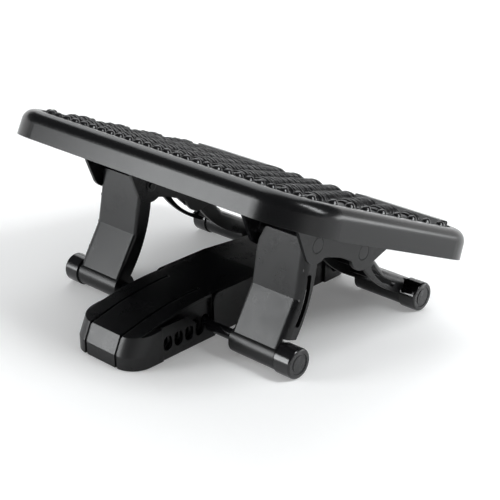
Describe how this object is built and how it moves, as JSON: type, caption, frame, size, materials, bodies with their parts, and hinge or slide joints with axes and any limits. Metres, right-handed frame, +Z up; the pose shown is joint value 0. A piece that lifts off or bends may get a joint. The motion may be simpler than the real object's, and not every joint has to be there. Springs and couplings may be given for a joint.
{
  "type": "footrest",
  "caption": "Tilting under desk footrest: a rocking tray with a massage mat on four legs, two bars and a notched base.",
  "frame": {"origin": "on the floor halfway between the two bar axes, on the underside of the middle rubber strip", "axes": "+X to the user's right along the bars, +Y away from the user towards the toe edge, +Z up"},
  "size_m": [0.446, 0.3654, 0.2165],
  "materials": {
    "plastic_body": "satin",
    "tray_plastic": "satin",
    "mat_rubber": "matte",
    "foot_rubber": "satin",
    "pad_rubber": "matte",
    "bar_steel": "semi-gloss",
    "pin_plastic": "satin",
    "fastener_steel": "zinc plated"
  },
  "bodies": {
    "base": {"base_shell": "plastic_body", "bottom_cover": "plastic_body", "base_pads": "pad_rubber", "cover_screws": "fastener_steel", "tail_saddle": "plastic_body", "left_side_rail": "plastic_body", "right_side_rail": "plastic_body"},
    "toe_legs": {"toe_bar": "bar_steel", "left_toe_leg": "plastic_body", "right_toe_leg": "plastic_body", "left_toe_foot": "foot_rubber", "right_toe_foot": "foot_rubber"},
    "platform": {"foot_tray": "tray_plastic", "massage_mat": "mat_rubber", "left_bracket": "plastic_body", "right_bracket": "plastic_body", "bracket_screws": "fastener_steel", "left_toe_pin": "pin_plastic", "right_toe_pin": "pin_plastic", "left_heel_pin": "pin_plastic", "right_heel_pin": "pin_plastic", "pin_clips": "fastener_steel", "pivot_washers": "pin_plastic"},
    "heel_legs": {"heel_bar": "bar_steel", "left_heel_leg": "plastic_body", "right_heel_leg": "plastic_body", "left_heel_foot": "foot_rubber", "right_heel_foot": "foot_rubber"}
  },
  "joints": [
    {"name": "toe_leg_swing", "type": "hinge", "parent": "base", "child": "toe_legs", "pos_m": [0, 0.1048, 0.0166], "axis": [1, 0, 0], "range_deg": [0, 9.7]},
    {"name": "platform_tilt", "type": "hinge", "parent": "toe_legs", "child": "platform", "pos_m": [0, 0.06419, 0.13026], "axis": [1, 0, 0], "range_deg": [-32.42, 0]},
    {"name": "heel_leg_swing", "type": "hinge", "parent": "platform", "child": "heel_legs", "pos_m": [0, -0.01097, 0.09797], "axis": [1, 0, 0], "range_deg": [0, 39.3]}
  ],
  "couplings": [
    {"joint": "toe_leg_swing", "follows": "platform_tilt", "ratio": -0.298},
    {"joint": "heel_leg_swing", "follows": "platform_tilt", "ratio": -1.21}
  ]
}
